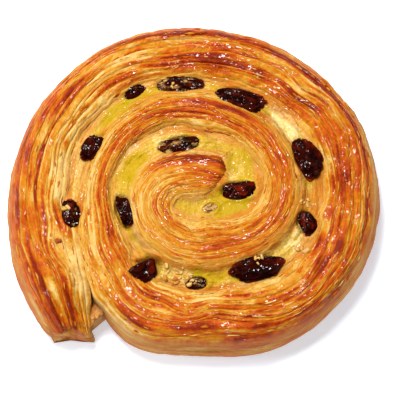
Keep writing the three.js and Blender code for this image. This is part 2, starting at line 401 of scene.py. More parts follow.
# Browner and paler places on the strip's top: angle, share, degrees along, share across, amount.
BAKED_PATCHES = [
    (785, 0.83, 42, 0.07, 0.5), (745, 0.86, 28, 0.06, 0.3), (840, 0.85, 40, 0.06, 0.16),
    (790, 0.98, 60, 0.08, -0.25), (904, 0.21, 6, 0.035, 0.9), (907, 0.13, 5, 0.04, 0.4),
    (547, 0.8, 5, 0.04, 0.5), (929, 0.6, 6, 0.08, -0.6), (930, 0.16, 10, 0.14, -0.6),
    (932, 0.73, 12, 0.055, 0.6), (937, 0.40, 9, 0.055, 0.6), (940, 0.88, 8, 0.08, 0.2),
    (602, 0.93, 16, 0.12, -0.5), (604, 0.80, 9, 0.03, 0.5), (900, 0.65, 32, 0.3, 0.16),
    (865, 0.6, 16, 0.3, 0.06), (840, 0.5, 18, 0.3, -0.12), (450, 0.6, 35, 0.18, 0.16),
    (410, 0.35, 25, 0.12, 0.2), (450, 0.18, 20, 0.07, -0.4), (455, 0.42, 16, 0.035, 0.4),
    (442, 0.7, 16, 0.03, 0.4), (447, 0.9, 20, 0.07, -0.35), (428, 0.55, 10, 0.05, -0.35),
    (468, 0.6, 12, 0.05, -0.35), (800, 0.55, 16, 0.04, 0.35), (815, 0.68, 12, 0.03, -0.35),
    (776, 0.45, 10, 0.04, -0.3), (430, 0.5, 45, 0.5, 0.08), (500, 0.5, 20, 0.5, 0.04),
    (340, 0.5, 50, 0.5, 0.08), (280, 0.5, 60, 0.5, 0.06), (806, 0.30, 24, 0.16, 0.30),
    (765, 0.25, 28, 0.2, 0.12), (700, 0.35, 25, 0.25, 0.12), (640, 0.60, 40, 0.25, 0.10),
    (880, 0.15, 40, 0.22, -0.30), (905, 0.30, 30, 0.3, -0.14), (625, 0.12, 30, 0.2, -0.22),
    (690, 0.10, 30, 0.16, -0.16), (735, 0.08, 20, 0.14, -0.12), (530, 0.75, 50, 0.35, -0.30),
    (500, 0.9, 30, 0.2, -0.16), (390, 0.15, 50, 0.25, -0.16), (210, 0.85, 60, 0.3, -0.18),
    (330, 0.2, 40, 0.3, -0.2), (88, 0.88, 44, 0.13, 0.85), (150, 0.6, 40, 0.5, -0.12),
    (240, 0.4, 50, 0.5, -0.1), (168, 0.75, 26, 0.2, -0.16), (140, 0.5, 20, 0.2, -0.1),
    (62, 0.7, 14, 0.4, 0.12), (270, 0.75, 50, 0.3, 0.04), (935, 0.7, 16, 0.4, 0.15),
]


def top_bake_and_crevice_shade(run, angle, leaf, within, share, relief, crevice):
    """How brown the top is, from 0 pale to 1 burnt: leaves differ, ridges are browner than
    valleys and brownest along their crest line, the free shoulder is darkest, crevices get
    painted shade, and the sides next to the custard are pale."""
    side = 2 * share - 1
    free = exposed(angle)
    lively = mix(0.55, 1, blend(run, 110, 230)) * mix(1, 0.5, blend(angle, 912, 926))
    bake = 0.53 + 0.18 * lively * noise(41, run / 30, leaf * 2.7)
    bake = bake + 0.24 * lively * noise(42, run / 5.5, leaf * 6.1)
    bake = bake + 0.13 * np.clip(relief, -0.9, 0.9)
    crest = 0.5 + 0.25 * noise(43, run / 21, leaf * 4.4)
    crest_here = np.clip(noise(44, run / 10, leaf * 3.2) + 0.3, 0, 1)
    bake = bake + 0.5 * lively * bump(within, crest, 0.15) * crest_here
    torn_here = np.clip(noise(45, run / 14, leaf * 7.7) + 0.6, 0, 1)
    bake = bake - 0.3 * bump(within, 0.96, 0.13) * torn_here
    bake = bake + 0.06 * free * blend(side, 0.5, 1) - 0.16 * blend(-side, 0.45, 1)
    # The last term darkens the crevices: painted shade.
    bake = bake - 0.14 * (1 - free) * blend(side, 0.55, 1) + 0.25 * crevice
    return np.clip(bake + patched(BAKED_PATCHES, angle, share), 0, 1)


# How many rings the strip has, with those that sink at its ends, and how many columns each
# stretch of a ring has: base, outer side, top and hollow side.
DOUGH_STATIONS = 735
INNER_CAP = 14
TAIL_CAP = 26
DOUGH_COLUMNS = (8, 44, LEAVES * len(LEAF_COLUMNS), 12)

# The side walls reach this share of the way up to the top's edges.
WALLS_REACH = 0.99

# Angles over which the tail's hollow side comes free, and over which its custard stain fades.
HOLLOW_OPENS = (932, 945)
STAIN_FADES = (900, 925)

# The map that the streaks follow: millimetres across a turn, millimetres that it runs on while a
# ring sinks, and the share of that sinking from which the cut face has a map of its own.
LEAF_GRAIN = 14
FALL = 30
CUT_FROM = 0.04


def dough_surface():
    """The whole strip as rings of points: across the base, up the outer side, back over the top
    leaf by leaf, and down the hollow side. The free outer side is tucked in below its bulge. The
    rings at both ends sink to the base, which makes the cut faces. Returns the points and what
    the finish reads."""
    body = np.linspace(0, 1, DOUGH_STATIONS) * STRIP_LENGTH
    run = np.concatenate([np.zeros(INNER_CAP), body, np.full(TAIL_CAP, STRIP_LENGTH)])[:, None]
    inner_sink = np.linspace(1, 0, INNER_CAP + 1)[:-1]
    tail_sink = np.linspace(0, 1, TAIL_CAP + 1)[1:]
    sink = np.concatenate([inner_sink, np.zeros(DOUGH_STATIONS), tail_sink])[:, None]
    along = along_at(run)

    # Shares and heights of the four stretches of each ring.
    n = len(run)
    leaf = np.repeat(np.arange(LEAVES)[::-1], len(LEAF_COLUMNS))[None, :]
    within = np.tile(LEAF_COLUMNS[::-1], LEAVES)[None, :]
    top_share = mix(*leaf_sides(leaf_edges(run), leaf), within)
    relief, crevice = leaf_relief(run, leaf, within)
    top_z = strip_top(run, top_share, relief)
    top_angle = strip_angle(along, top_share)
    top_z = top_z + 0.9 * bump(run, STRIP_LENGTH, 5) * rough(59, 2, top_share * 5, run / 2.2)

    base_share = np.linspace(0.1, 0.9, DOUGH_COLUMNS[0])[None, :]
    base_z = 0.12 + 0.12 * noise(51, run / 5, base_share * 4)
    base_shift = -BASE_INSET * exposed(strip_angle(along, base_share)) * blend(base_share, 0.4, 0.9)

    wall_level = np.linspace(0, 1, DOUGH_COLUMNS[1] + 1)[None, 1:]
    wall_z = wall_level * top_z[:, :1] * WALLS_REACH
    free = exposed(strip_angle(along, 1))
    sheets = rough(54, 2, run / 13, wall_z / 1.5)
    uneven = 0.5 * rough(52, 2, run / 16, wall_z / 9) + 0.45 * sheets
    uneven = uneven + 0.2 * noise(55, run / 2.1, wall_z / 1.3)
    wall_shift = -(np.clip(1 - wall_z / (0.85 * BULGE_HEIGHT), 0, 1) ** 2) * BASE_INSET * free
    wall_shift = wall_shift + free * uneven * blend(wall_level, 0, 0.2)
    top_shift = wall_shift[:, -1:] * blend(top_share, 0.72, 1)

    hollow_z = np.linspace(1, 0, DOUGH_COLUMNS[3] + 1)[None, :-1] * top_z[:, -1:] * WALLS_REACH
    hollow_open = blend(strip_angle(along, 0), *HOLLOW_OPENS)
    hollow_shift = hollow_open * 1.1 * rough(56, 3, run / 5, hollow_z / 5)
    top_shift = top_shift + hollow_shift[:, :1] * blend(top_share, 0.22, 0)

    share = ringed(n, DOUGH_COLUMNS, base_share, 1, top_share, 0)
    height = ringed(n, DOUGH_COLUMNS, base_z, wall_z, top_z, hollow_z)
    shift = ringed(n, DOUGH_COLUMNS, base_shift, wall_shift, top_shift, hollow_shift)

    # The cut ends: rings draw in a little and sink, and each leaf ends a little early or late.
    near_end = np.maximum(bump(run, 0, 1.1), bump(run, STRIP_LENGTH, 1.4))
    share = 0.5 + (share - 0.5) * (1 - 0.1 * near_end)
    height = height * (1 - 0.06 * near_end) * (1 - 0.97 * sink)
    angle = strip_angle(along, share)
    ragged = 1.3 * noise(57, share * 6, height / 3) + 0.5 * noise(58, share * 14, height / 0.9)
    ragged = ragged * (bump(run, STRIP_LENGTH, 2.2) + 0.5 * bump(run, 0, 1.5))
    radius = turn_radius(angle, share) + shift + edge_shift(run, angle, share, height)
    angle = angle + np.degrees(ragged / np.maximum(radius, 4))
    points = raised(polar(angle, radius) + SHIFT, height)

    # What the finish reads: how brown, with painted shade in the leaves' crevices, how stained
    # with custard, how glazed, and a map that follows the leaves.
    level = wall_z / SHOULDER_HEIGHT
    wall_bake = 0.42 + 0.2 * rough(61, 3, run / 7, wall_z / 4) + 0.22 * blend(level, 0.25, 0)
    wall_bake = wall_bake + 0.34 * sheets + 0.14 * blend(level, 0.75, 1) * free
    # The top's bake carries painted shade in the crevices as well as the browning.
    top_bake_with_crevice_shade = top_bake_and_crevice_shade(run, top_angle, leaf, within, top_share, relief, crevice)
    wall_bake = mix(wall_bake, top_bake_with_crevice_shade[:, :1], blend(level, 0.72 - 0.2 * sheets, 1))
    hollow_bake = mix(0.3, 0.55, blend(hollow_z, 12, 0))
    bake = ringed(n, DOUGH_COLUMNS, 0.66, wall_bake, top_bake_with_crevice_shade, hollow_bake)
    torn_bake = 0.4 + 0.3 * rough(62, 3, share * 5, height / 4) + 0.2 * blend(height, 4, 0)
    bake = np.clip(mix(bake, torn_bake, blend(sink, 0.02, 0.2) * (run > 1)), 0, 1)

    on_rim = exposed(top_angle)
    washed = blend(top_share, 0, 0.05) * mix(1, blend(top_share, 1.0, 0.9), on_rim)
    glaze = ringed(n, DOUGH_COLUMNS, 0, 0, washed, 0) * (1 - blend(sink, 0, 0.3))

    from_custard = np.minimum(top_share, mix(1 - top_share, 1, on_rim))
    edge_mm = (outer_face(top_angle) - hollow_face(top_angle)) * from_custard
    wander = 1.3 + 1.9 * rough(64, 3, run / 7, top_share * 3)
    on_hook = bump(top_angle, 95, 60) * (top_share > 0.5)
    unstained = blend(top_angle, *STAIN_FADES)
    soaked = blend(edge_mm, wander + 1.2, 0.1) * (1 - unstained) * (1 - on_hook)
    stain = ringed(n, DOUGH_COLUMNS, 0, 0, 0.6 * soaked, 0.8)

    # Across a ring the map gives the distance round it, but on top the share, as the leaves lie.
    around = travelled(points, axis=1) / MM
    on_top = ringed(n, DOUGH_COLUMNS, 0, 0, 1, 0)
    across = np.where(on_top, ringed(n, DOUGH_COLUMNS, 0, 0, top_share * LEAF_GRAIN, 0), around)
    sheet = ringed(n, DOUGH_COLUMNS, 3, 3, leaf * 3.7, 3)
    grain = together(run + FALL * sink * np.where(run > 1, 1, -1), across, sheet)
    cut_face = together(share * LEAF_GRAIN, height, 9)
    grain = np.where((sink > CUT_FROM)[..., None], cut_face, grain)
    return points, {"bake": bake, "glaze": glaze, "stain": stain, "grain": grain}


def top_at(run, share):
    """Height of the strip's top at any run and share, with the relief of the leaf that is there."""
    edges = leaf_edges(run)
    leaf = np.clip((share[..., None] > edges).sum(-1) - 1, 0, LEAVES - 1)
    low, high = leaf_sides(edges, leaf)
    relief, _ = leaf_relief(run, leaf, (share - low) / (high - low))
    return strip_top(run, share, relief)


# How many flakes each half of the strip has, their rings, the shape of a ring as places out and
# up, and the share of them that is pale.
FLAKE_COUNT = 420
FLAKE_STATIONS = 8
FLAKE_SECTION = np.array([(-1, 0), (-0.7, 0.75), (0, 1), (0.7, 0.75), (1, 0)])
PALE_FLAKES = 0.4


def flake_surfaces(seed, first_run, last_run):
    """Torn edges of single sheets: each flake is a low wall a few millimetres long that follows a
    leaf, with a wavering top, and tapers to nothing at both ends. Returns them as a stack of
    rings, and what the finish reads."""
    rng = np.random.default_rng(seed)

    def pick(low, high):
        return rng.uniform(low, high, (FLAKE_COUNT, 1))

    number = np.arange(FLAKE_COUNT)[:, None] * 1.37
    t = np.linspace(0.02, 0.98, FLAKE_STATIONS)[None, :]
    length = 1.3 * np.exp(pick(0, 1.2))
    run = np.clip(pick(first_run, last_run) + (t - 0.5) * length, 1.5, STRIP_LENGTH - 1.5)
    leaf = rng.integers(0, LEAVES, (FLAKE_COUNT, 1)) + 0 * run.astype(int)
    share = mix(*leaf_sides(leaf_edges(run), leaf), pick(0, 1)) + 0.01 * noise(92, run / 1.7, number)
    share = np.clip(share, 0.03, 0.965)
    angle = strip_angle(along_at(run), share)
    foot = top_at(run, share)
    radius = turn_radius(angle, share) + edge_shift(run, angle, share, foot)
    taper = np.sin(math.pi * t) ** 0.7
    tall = pick(0.08, 0.32) * taper * (1 + 0.5 * noise(93, run / 1.1, number))
    half = pick(0.14, 0.36) * (0.3 + 0.7 * taper) * (1 + 0.35 * noise(96, run / 1.3, number))
    lean = pick(-0.4, 0.4) * tall
    out, up = FLAKE_SECTION[:, 0], FLAKE_SECTION[:, 1]
    ring_radius = radius[..., None] + half[..., None] * out + lean[..., None] * up
    height = foot[..., None] + mix(-0.3, tall[..., None], up)
    points = raised(polar(angle[..., None], ring_radius) + SHIFT, height)
    pale = pick(0, 1) < PALE_FLAKES
    tone = np.where(pale, pick(0.2, 0.4), pick(0.4, 0.7)) + 0.1 * noise(95, run / 2, number)
    bake = np.clip(tone[..., None] + 0 * height, 0, 1)
    grain = together(run[..., None], share[..., None] * LEAF_GRAIN + out * 0.4, number[..., None])
    still = np.ones(height.shape)
    return points, {"bake": bake, "glaze": still, "stain": 0 * still, "grain": grain}


# Loose crumbs on the top: x and y of a cluster's middle, its half spread, how many, how brown.
CRUMBS = [
    (-5.2, -21.7, 3.6, 22, 0.15), (-7.0, -22.5, 2.5, 6, 0.5), (32.7, 1.1, 1.6, 9, 0.05),
    (32.1, -13.7, 1.8, 9, 0.1), (-7.6, 37.4, 1.2, 4, 0.1), (17.6, -16.4, 1.6, 6, 0.2),
    (-40.6, -0.2, 0.9, 4, 0.05), (-43.0, -10.6, 0.5, 3, 1.2),
]
CRUMB_RINGS = 4
CRUMB_SIDES = 6


def crumb_surfaces(height_at):
    """Crumbs as small lumpy stretched balls, turned at random and resting on what lies below.
    height_at gives the top's height at a plan point. Returns a stack of rings and features."""
    rng = np.random.default_rng(17)
    x, y, spread, _, tone = (np.repeat(column, [c[3] for c in CRUMBS]) for column in zip(*CRUMBS))
    total = len(x)
    x = x + spread * rng.normal(0, 0.6, total)
    y = y + spread * rng.normal(0, 0.35, total)
    rest = np.array([height_at(*place) for place in zip(x, y)])[:, None, None]
    size = 0.28 * np.exp(rng.uniform(0, 0.9, (total, 1, 1)))
    turn = rng.uniform(0, 2 * math.pi, (total, 1, 1))
    lumpy = size * rng.uniform(0.65, 1.25, (total, CRUMB_RINGS, CRUMB_SIDES))
    dx, dy, dz = ball(CRUMB_RINGS, CRUMB_SIDES)
    east, north = turned(1.7 * lumpy * dx, lumpy * dy, turn)
    w = 0.7 * lumpy * dz
    plan = together(x[:, None, None] + east, y[:, None, None] + north) + SHIFT
    points = raised(plan, rest + w + 0.3 * size)
    bake = np.clip(tone[:, None, None] + rng.uniform(-0.15, 0.15, (total, 1, 1)) + 0 * w, 0, 1)
    return points, {"bake": bake, "glaze": 0.5 + 0 * w, "stain": 0 * w, "grain": points / MM}


# The web of dough low in the notch: angles where it starts and stops, its height behind and in
# front, how far it reaches into the dough on both sides, and its rings and their columns.
WEB = (572, 586)
WEB_HOLLOW = 14
WEB_LEDGE = 18
WEB_REACH = (2, 1.5)
WEB_RINGS = 40
WEB_COLUMNS = (6, 4, 30, 4)


def web_surface():
    """The torn web between the tail and the turn inside it, as rings across the notch: it hangs
    low behind and rises to a ragged ledge in front."""
    t = np.linspace(0, 1, WEB_RINGS)[:, None]
    lift = np.linspace(0.05, 0.95, WEB_COLUMNS[1])[None, :]
    across = np.linspace(1, 0, WEB_COLUMNS[2])[None, :]
    share = ringed(1, WEB_COLUMNS, np.linspace(0, 1, WEB_COLUMNS[0]), 1, across, 0)
    ledge = blend(t, 0.45, 0.85)
    top = mix(WEB_HOLLOW, WEB_LEDGE, ledge) + 3 * blend(t, 0.2, 0) - 1.6 * np.sin(math.pi * across) * ledge
    top = top + 1.1 * rough(101, 3, t * 7, across * 6)
    height = ringed(WEB_RINGS, WEB_COLUMNS, 0.2, lift * top[:, :1], top, lift[:, ::-1] * top[:, -1:])
    ragged = 1.4 * rough(103, 3, share * 8, height / 4) * blend(t, 0.6, 1)
    angle = mix(WEB[0], WEB[1], t) + ragged
    radius = mix(outer_face(angle) - WEB_REACH[0], hollow_face(angle + 360) + WEB_REACH[1], share)
    points = raised(polar(angle, radius) + SHIFT, height)
    # Painted shade: the web is darker behind, deep in the notch, and paler tan on the ledge in front.
    bake = mix(0.62, 0.2, ledge) + 0.2 * rough(105, 2, t * 6, share * 6)
    grain = together(t * 12 + share * 8, height, 9 * t)
    bare = np.zeros(height.shape)
    return points, {"bake": np.clip(bake, 0, 1), "glaze": bare, "stain": bare, "grain": grain}


# ---------------------------------------------------------------- meshes


def close_rings(points, features):
    """Closes one solid's rings of points, or a stack of equal solids, with a middle point at each
    end. Returns flat vertices, quads and triangles as index lists, and the flat features, which
    average over the end rings."""
    if points.ndim == 3:
        points = points[None]
        features = {key: values[None] for key, values in features.items()}
    count, n, m = points.shape[:3]

    def flatten(values):
        rest = values.shape[3:]
        ends = values[:, [0, -1]].mean(axis=2)
        return np.concatenate([values.reshape((count, n * m) + rest), ends], axis=1).reshape((-1,) + rest)

    ring = np.arange(n - 1)[:, None] * m
    here = np.arange(m)
    after = (here + 1) % m
    quads = together(ring + here, ring + m + here, ring + m + after, ring + after).reshape(-1, 4)
    first = together(here, after, n * m)
    last = together((n - 1) * m + after, (n - 1) * m + here, n * m + 1)
    offsets = (np.arange(count) * (n * m + 2))[:, None, None]
    faces = [(face + offsets).reshape(-1, face.shape[1]) for face in (quads, first, last)]
    return flatten(points), faces, {key: flatten(values) for key, values in features.items()}


def make_mesh(name, verts, faces, features, material):
    """A smooth-shaded object at the origin from arrays of vertices, faces and per-vertex features."""
    mesh = bpy.data.meshes.new(name)
    mesh.from_pydata(verts.tolist(), [], [corners for group in faces for corners in group.tolist()])
    mesh.shade_smooth()
    for key, values in features.items():
        kind, field = ("FLOAT_VECTOR", "vector") if values.ndim > 1 else ("FLOAT", "value")
        layer = mesh.attributes.new(key, kind, "POINT")
        layer.data.foreach_set(field, np.ascontiguousarray(values, np.float32).ravel())
    mesh.validate()
    mesh.materials.append(material)
    piece = bpy.data.objects.new(name, mesh)
    bpy.context.collection.objects.link(piece)
    return piece


# ---------------------------------------------------------------- materials


def colour(hex_code):
    """An sRGB hex code as linear red, green, blue and alpha."""
    parts = [int(hex_code[i : i + 2], 16) / 255 for i in (1, 3, 5)]
    return tuple(c / 12.92 if c <= 0.04045 else ((c + 0.055) / 1.055) ** 2.4 for c in parts) + (1.0,)


def add_node(tree, kind, inputs=None, stops=None, **settings):
    """Adds one node with its settings and links. inputs are values, sockets to link in, or nodes
    whose first output is linked in. stops are a colour ramp's places and hex colours."""
    made = tree.nodes.new("ShaderNode" + kind)
    for key, value in settings.items():
        setattr(made, key, value)
    for key, value in (inputs or {}).items():
        source = value.outputs[0] if isinstance(value, bpy.types.Node) else value
        if isinstance(source, bpy.types.NodeSocket):
            tree.links.new(source, made.inputs[key])
        else:
            made.inputs[key].default_value = source
    if stops:
        ramp = made.color_ramp
        while len(ramp.elements) > 1:
            ramp.elements.remove(ramp.elements[-1])
        ramp.elements[0].position = stops[0][0]
        ramp.elements[0].color = colour(stops[0][1])
        for place, code in stops[1:]:
            ramp.elements.new(place).color = colour(code)
    return made


def new_material(name):
    """An empty material, and what adds nodes to it."""
    material = bpy.data.materials.new(name)
    material.use_nodes = True
    material.node_tree.nodes.clear()
    return material, functools.partial(add_node, material.node_tree)


def shaded(material, add, inputs):
    """The material with one principled shader, which has these inputs."""
    add("OutputMaterial", {"Surface": add("BsdfPrincipled", inputs)})
    return material


# A mix node has several inputs called A and B, so its colours are set and read by their places.
MIX_A = 6
MIX_B = 7
MIX_RESULT = 2

# How much of the bare crust's own colour shows where no wash reached it.
BARE_SHARE = 0.36

# The noise's value above which there are no beads, and how much lower it goes for a full cover.
BEAD_LOW = 0.72
BEAD_SPREAD = 0.3


def pattern(add, kind, place, sizes, **inputs):
    """A texture that is stretched to grains of these sizes, in the units of place."""
    stretched = add("Mapping", {"Vector": place, "Scale": tuple(1 / size for size in sizes)})
    return add(kind, {"Vector": stretched, "Scale": 1.0, **inputs})


def swing(add, cloud, strength):
    """A noise from 0 to 1 turned into plus or minus half of strength."""
    return add("Math", {0: cloud, 1: strength, 2: -strength / 2}, operation="MULTIPLY_ADD")


def torn(add, grain, reach):
    """Places along the grain, moved up to reach across it by a noise of 1.8 mm by 1.1 mm, which
    tears what is drawn on them."""
    cloud = pattern(add, "TexNoise", grain, (1.8, 1.1, 1), Detail=2.0).outputs["Color"]
    return add("VectorMath", {0: cloud, 1: (0, reach, 0), 2: grain}, operation="MULTIPLY_ADD")


def pressed(add, *layers):
    """A normal after one relief on top of another: height, strength and depth in millimetres."""
    below = {}
    for height, strength, depth in layers:
        relief = add("Bump", {"Height": height, "Strength": strength, "Distance": depth * MM, **below})
        below = {"Normal": relief}
    return relief


def beads(add, place, sizes, share):
    """1 on small separate spots of about these sizes, and 0 between them. share is how much of
    the surface they cover, from 0 to 1."""
    cloud = pattern(add, "TexNoise", place, sizes, Detail=2.0)
    above = add("Math", {0: share, 1: -BEAD_SPREAD, 2: BEAD_LOW}, operation="MULTIPLY_ADD")
    over = add("Math", {0: cloud, 1: above}, operation="SUBTRACT")
    return add("MapRange", {"Value": over, "From Max": 0.05})


def facets(add, place, sizes, tilt, level):
    """A normal that is tilted a little, another way in each cell of about these sizes, as the
    flat faces of a wrinkled wet film are. It splits a shine into separate glints. The film runs
    into the hollows, so its faces also lean towards level."""
    cell = pattern(add, "TexVoronoi", place, sizes)
    ways = {0: cell.outputs["Color"], 1: (2 * tilt,) * 3, 2: (-tilt,) * 3}
    offset = add("VectorMath", ways, operation="MULTIPLY_ADD")
    square = add("NewGeometry").outputs["Normal"]
    tilted = add("VectorMath", {0: square, 1: offset}, operation="ADD")
    tilted = add("VectorMath", {0: tilted, 1: (0, 0, level)}, operation="ADD")
    return add("VectorMath", {0: tilted}, operation="NORMALIZE")


def baked_laminated_dough(settings):
    """Butter dough baked golden: flaky, browned where it stood up, egg-washed on top.
    The eye gets thin streaks along the leaves, red-brown ridges, and a broken wet shine."""
    material, add = new_material("baked_laminated_dough")
    names = ("bake", "stain", "glaze")
    bake, stain, glaze = (add("Attribute", attribute_name=name).outputs["Fac"] for name in names)
    grain = add("Attribute", attribute_name="grain").outputs["Vector"]

    # Streaks are about 6 mm long and 0.45 mm wide, as single sheets of the dough are, and granules
    # of torn crumb 0.8 mm by 0.55 mm. Blisters of the skin, 2 mm by 1.2 mm, give it a ragged
    # edge, and panels of 8 mm by 3 mm are leaves that baked more or less.
    ragged = torn(add, grain, 1.1)
    # bake holds the browning, with painted shade in the leaves' crevices and at the back of the notch's web.
    brown = bake
    clouds = {}
    for key, along, across, detail, strength in (
        ("streak", 6, 0.45, 3.0, 0.48), ("granule", 0.8, 0.55, 2.0, 0.34),
        ("blister", 2.0, 1.2, 4.0, 0.65), ("panel", 8, 3, 2.0, 0.75),
    ):
        clouds[key] = pattern(add, "TexNoise", ragged, (along, across, 1), Detail=detail, Roughness=0.6)
        brown = add("Math", {0: brown, 1: swing(add, clouds[key], strength)}, operation="ADD")
    # Bare crumb is pale tan; where the browned skin starts the colour turns at once.
    crust = add("ValToRGB", {"Fac": brown}, stops=[
        (0.0, "#c8a664"), (0.16, "#bc9044"), (0.3, "#b27a20"), (0.46, "#ac6608"),
        (0.6, "#a64a04"), (0.78, "#943404"), (0.96, "#6c1c03"),
    ])
    custardy = add("Mix", {"Factor": stain, MIX_A: crust, MIX_B: colour(settings.stain)}, data_type="RGBA")
    # Where no wash reached it, the crust is dull and a pinkish tan.
    bare = add("Math", {0: glaze, 1: -BARE_SHARE, 2: BARE_SHARE}, operation="MULTIPLY_ADD")
    dusts = {"Factor": bare, MIX_A: custardy.outputs[MIX_RESULT], MIX_B: colour("#b87850")}
    dusty = add("Mix", dusts, data_type="RGBA")

    # The egg wash clings to the skin in beads of about 0.5 mm, thickest in pools of 7 mm by 4 mm.
    skin = add("MapRange", {"Value": brown, "From Min": 0.25, "From Max": 0.5})
    pool = pattern(add, "TexNoise", grain, (7, 4, 1 / 0.3), Detail=3.0)
    wet = add("MapRange", {"Value": pool, "From Min": 0.4, "From Max": 0.6, "To Min": 0.05})
    spots = beads(add, grain, (0.6, 0.45, 1), wet)
    washed = add("Math", {0: glaze, 1: skin}, operation="MULTIPLY")
    reliefs = (clouds["streak"], 0.4, 0.35), (clouds["granule"], 0.7, 0.28), (clouds["blister"], 0.7, 0.5)
    return shaded(material, add, {
        "Base Color": dusty.outputs[MIX_RESULT],
        "Normal": pressed(add, *reliefs),
        "Roughness": add("MapRange", {"Value": glaze, "To Min": 0.75, "To Max": 0.5}),
        "Specular IOR Level": 0.06,
        "Coat Normal": facets(add, grain, (0.8, 0.5, 1), 0.35, 0.8),
        "Coat Weight": add("Math", {0: washed, 1: spots}, operation="MULTIPLY"),
        "Coat Roughness": 0.14,
        "Coat IOR": 1.32,
        "Subsurface Weight": 0.08,
        "Subsurface Radius": (1.0, 0.5, 0.2),
        "Subsurface Scale": 1.5 * MM,
    })


def baked_custard(settings):
    """Pastry cream baked in the roll: a smooth yellow skin, paler where thin or overlaid with
    cream, with a soft wet shine."""
    material, add = new_material("baked_custard")
    names = ("cream", "toast", "bake", "streaky")
    cream, toast, bake, streaky = (add("Attribute", attribute_name=name).outputs["Fac"] for name in names)
    grain = add("Attribute", attribute_name="grain").outputs["Vector"]
    place = add("TexCoord").outputs["Object"]

    # Streaks where it ran along the dough, about 5 mm by 0.8 mm, clouds of about 3 mm, and curds
    # of about 0.7 mm.
    streak = pattern(add, "TexNoise", grain, (5, 0.8, 1), Detail=3.0)
    streaked = add("Math", {0: swing(add, streak, 0.9), 1: streaky}, operation="MULTIPLY")
    clouded = swing(add, add("TexNoise", {"Vector": place, "Scale": 1 / (3 * MM), "Detail": 5.0}), 1.0)
    curd = add("TexNoise", {"Vector": place, "Scale": 1 / (0.7 * MM), "Detail": 2.0})
    curdled = swing(add, curd, 1.1)
    paler = add("Math", {0: cream, 1: clouded}, operation="ADD")
    browned = add("Math", {0: toast, 1: clouded}, operation="ADD")
    for detail in (curdled, streaked):
        paler = add("Math", {0: paler, 1: detail}, operation="ADD")
        browned = add("Math", {0: browned, 1: detail}, operation="SUBTRACT")
    skin = add("ValToRGB", {"Fac": paler}, stops=[
        (0.0, "#a28408"), (0.25, "#a8860e"), (0.5, "#ae8a22"), (0.75, "#bc9e4c"), (1.0, "#cbb476"),
    ])
    # Where it is browned it is streaked pale and orange, like the dough beside it.
    fibre = pattern(add, "TexNoise", torn(add, grain, 1.2), (6, 0.5, 1), Detail=3.0)
    fibred = add("Math", {0: swing(add, fibre, 0.9), 1: streaky}, operation="MULTIPLY")
    tone = add("Math", {0: bake, 1: fibred}, operation="ADD")
    dough_like = add("ValToRGB", {"Fac": tone}, stops=[
        (0.0, "#c6a468"), (0.3, "#b5843c"), (0.55, "#aa6816"), (0.8, "#9c4c08"), (1.0, "#7c2c06"),
    ])
    crust = add("Mix", {"Factor": browned, MIX_A: skin, MIX_B: dough_like}, data_type="RGBA")

    # It is wet in pools of about 5 mm, in beads of 0.6 mm.
    pool = add("TexNoise", {"Vector": place, "Scale": 1 / (5 * MM), "Detail": 2.0})
    wet = add("MapRange", {"Value": pool, "From Min": 0.35, "From Max": 0.65, "To Max": settings.shine})
    bead = (0.6 * MM,) * 3
    return shaded(material, add, {
        "Base Color": crust.outputs[MIX_RESULT],
        "Normal": pressed(add, (curd, 0.8, 0.35), (streaked, 0.8, 0.5), (fibred, 0.8, 0.4)),
        "Roughness": 0.5,
        "Specular IOR Level": 0.08,
        "Coat Normal": facets(add, place, bead, 0.25, 0.6),
        "Coat Weight": beads(add, place, bead, wet),
        "Coat Roughness": 0.16,
        "Coat IOR": 1.36,
        "Subsurface Weight": 0.2,
        "Subsurface Radius": (1.0, 0.7, 0.25),
        "Subsurface Scale": 1.5 * MM,
    })


def glazed_raisin_skin(settings):
    """Sun-dried grape skin, soaked and glazed: near black in the creases, which is painted
    shade, red-brown on the stretched folds, with small hard highlights."""
    material, add = new_material("glazed_raisin_skin")
    # This attribute holds the skin's tone, with painted shade darkening its creases.
    fold = add("Attribute", attribute_name="fold").outputs["Fac"]
    film = add("Attribute", attribute_name="film").outputs["Fac"]
    place = add("TexCoord").outputs["Object"]
    cloud = add("TexNoise", {"Vector": place, "Scale": 1 / (2.2 * MM), "Detail": 3.0})
    tone = add("Math", {0: fold, 1: swing(add, cloud, 0.8)}, operation="ADD")
    skin = add("ValToRGB", {"Fac": tone}, stops=[
        (0.0, "#120302"), (0.35, "#2e0804"), (0.62, "#581206"), (0.85, "#7c2209"), (1.0, "#9c4218"),
    ])
    # A film of custard, in specks of about 0.6 mm, lies over a raisin that has sunk in.
    speck = add("TexNoise", {"Vector": place, "Scale": 1 / (0.6 * MM), "Detail": 2.0})
    specked = add("Math", {0: speck, 1: 4.0, 2: -2.4}, operation="MULTIPLY_ADD")
    specked = add("Math", {0: film, 1: 2.0, 2: specked}, operation="MULTIPLY_ADD")
    specked = add("Math", {0: specked, 1: film}, operation="MULTIPLY", use_clamp=True)
    veiled = add("Mix", {"Factor": specked, MIX_A: skin, MIX_B: colour("#a8804a")}, data_type="RGBA")
    wrinkle = add("TexNoise", {"Vector": place, "Scale": 1 / (0.9 * MM), "Detail": 1.0})

    # The glaze gathers in pools of about 2.5 mm, in beads of 0.5 mm.
    pool = add("TexNoise", {"Vector": place, "Scale": 1 / (2.5 * MM), "Detail": 2.0})
    wet = add("MapRange", {"Value": pool, "From Min": 0.4, "From Max": 0.6, "To Max": settings.shine})
    bead = (0.5 * MM,) * 3
    return shaded(material, add, {
        "Base Color": veiled.outputs[MIX_RESULT],
        "Normal": pressed(add, (wrinkle, 1.0, 0.5)),
        "Roughness": 0.7,
        "Specular IOR Level": 0.0,
        "Coat Normal": facets(add, place, bead, 0.45, 0.8),
        "Coat Weight": beads(add, place, bead, wet),
        "Coat Roughness": 0.1,
        "Coat IOR": 1.3,
    })


# ---------------------------------------------------------------- custard


